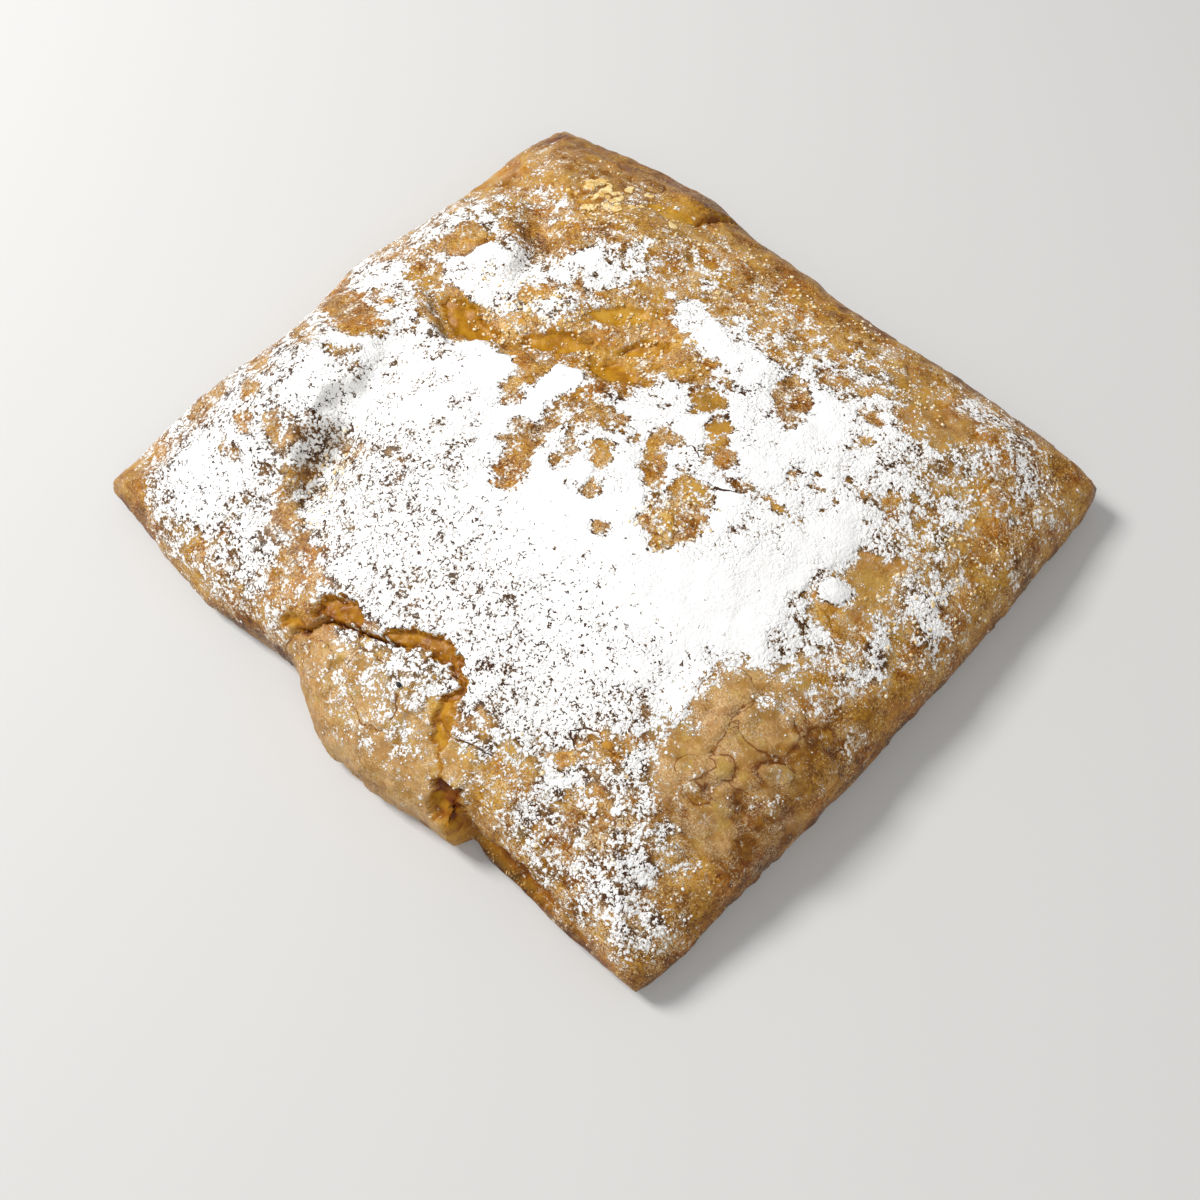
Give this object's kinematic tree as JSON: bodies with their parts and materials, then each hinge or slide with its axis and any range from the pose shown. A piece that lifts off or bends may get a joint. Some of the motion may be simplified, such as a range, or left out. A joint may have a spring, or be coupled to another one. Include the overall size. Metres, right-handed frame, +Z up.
{
  "type": "bougatsa",
  "caption": "Square folded phyllo packet, baked with a custard filling inside, crust burst along one side and dusted with icing sugar.",
  "frame": {"origin": "on the surface the packet rests on, below the middle of its overall box", "axes": "+Z up, +X along the packet's longer side, -Y towards the open side where the crust has burst"},
  "size_m": [0.1464, 0.137, 0.0271],
  "materials": {
    "phyllo_crust": "thin baked dough sheets, golden to deep brown, dry and slightly glossy where the butter has fried it, with blisters, cracks and torn edges",
    "icing_sugar": "matt white powder, thick and closed over the middle and thinning to single grains and clumps at the edges"
  },
  "bodies": {
    "root": {"pastry_packet": "phyllo_crust"}
  },
  "joints": []
}
